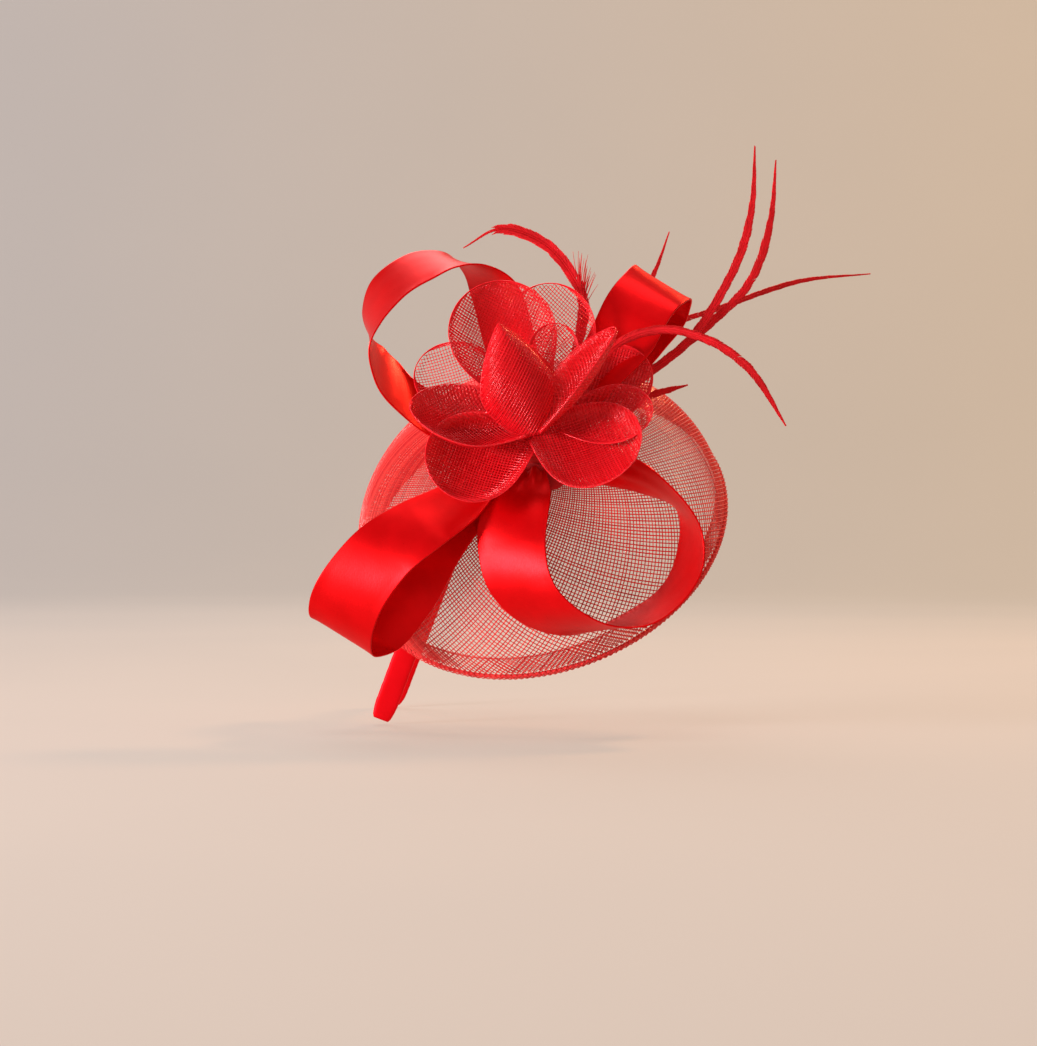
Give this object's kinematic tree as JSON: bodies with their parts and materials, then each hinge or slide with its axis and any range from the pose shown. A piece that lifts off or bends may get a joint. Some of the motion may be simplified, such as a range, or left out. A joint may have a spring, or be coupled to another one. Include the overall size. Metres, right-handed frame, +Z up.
{
  "type": "fascinator headpiece",
  "caption": "Red domed net cap on a satin-wrapped headband, trimmed with satin ribbon loops, a net flower and slim stripped feathers.",
  "frame": {"origin": "middle of the band's underside, where it rests on the crown of the head", "axes": "+X the way the wearer faces, +Y the wearer's left, +Z up, with the headpiece as it is worn"},
  "size_m": [0.2573, 0.2016, 0.2544],
  "materials": {
    "cap_net": "open crinoline net, glossy nylon strands",
    "petal_crin": "crin braid, glossy nylon strands",
    "ribbon_satin": "polyester satin, bright sheen on both faces",
    "band_satin": "satin ribbon glued round the band",
    "feather": "dyed feather, matt with a slight sheen",
    "felt": "wool felt",
    "thread": "wound polyester thread",
    "band_core": "moulded plastic",
    "rim_wire": "thread-covered millinery wire"
  },
  "bodies": {
    "headpiece": {"crown_net": "cap_net", "rim_wire": "rim_wire", "rim_hem": "cap_net", "trim_felt_disc": "felt", "trim_lining_disc": "felt", "ribbon_gather": "thread", "flower_gather": "thread", "ribbon_loop_lower_right": "ribbon_satin", "ribbon_loop_lower_left": "ribbon_satin", "ribbon_loop_upper_left": "ribbon_satin", "ribbon_loop_upper_right": "ribbon_satin", "petal_bud": "petal_crin", "petal_top_left": "petal_crin", "petal_top_right": "petal_crin", "petal_small_back": "petal_crin", "petal_left_back": "petal_crin", "petal_left_front": "petal_crin", "petal_bottom_left": "petal_crin", "petal_bottom_right": "petal_crin", "petal_right_lower": "petal_crin", "petal_right_upper": "petal_crin", "petal_diagonal": "petal_crin", "feather_tall_front": "feather", "feather_tall_back": "feather", "feather_drooping": "feather", "feather_left": "feather", "feather_far_short": "feather", "feather_far_long": "feather", "feather_stub": "feather", "band_core_middle": "band_core", "band_satin_middle": "band_satin"},
    "left_arm": {"band_core_left": "band_core", "band_satin_left": "band_satin"},
    "right_tail": {"band_core_right": "band_core", "band_satin_right": "band_satin"}
  },
  "joints": [
    {"name": "left_arm_flex", "type": "hinge", "parent": "headpiece", "child": "left_arm", "pos_m": [-0.00408, 0.03403, -0.01079], "axis": [0.9354, 0, -0.3535], "range_deg": [-8, 10], "stiffness_Nm_per_rad": 1.6},
    {"name": "right_tail_flex", "type": "hinge", "parent": "headpiece", "child": "right_tail", "pos_m": [-0.04143, -0.05125, -0.10963], "axis": [-0.9354, 0, 0.3535], "range_deg": [-4, 4], "stiffness_Nm_per_rad": 1.6}
  ]
}
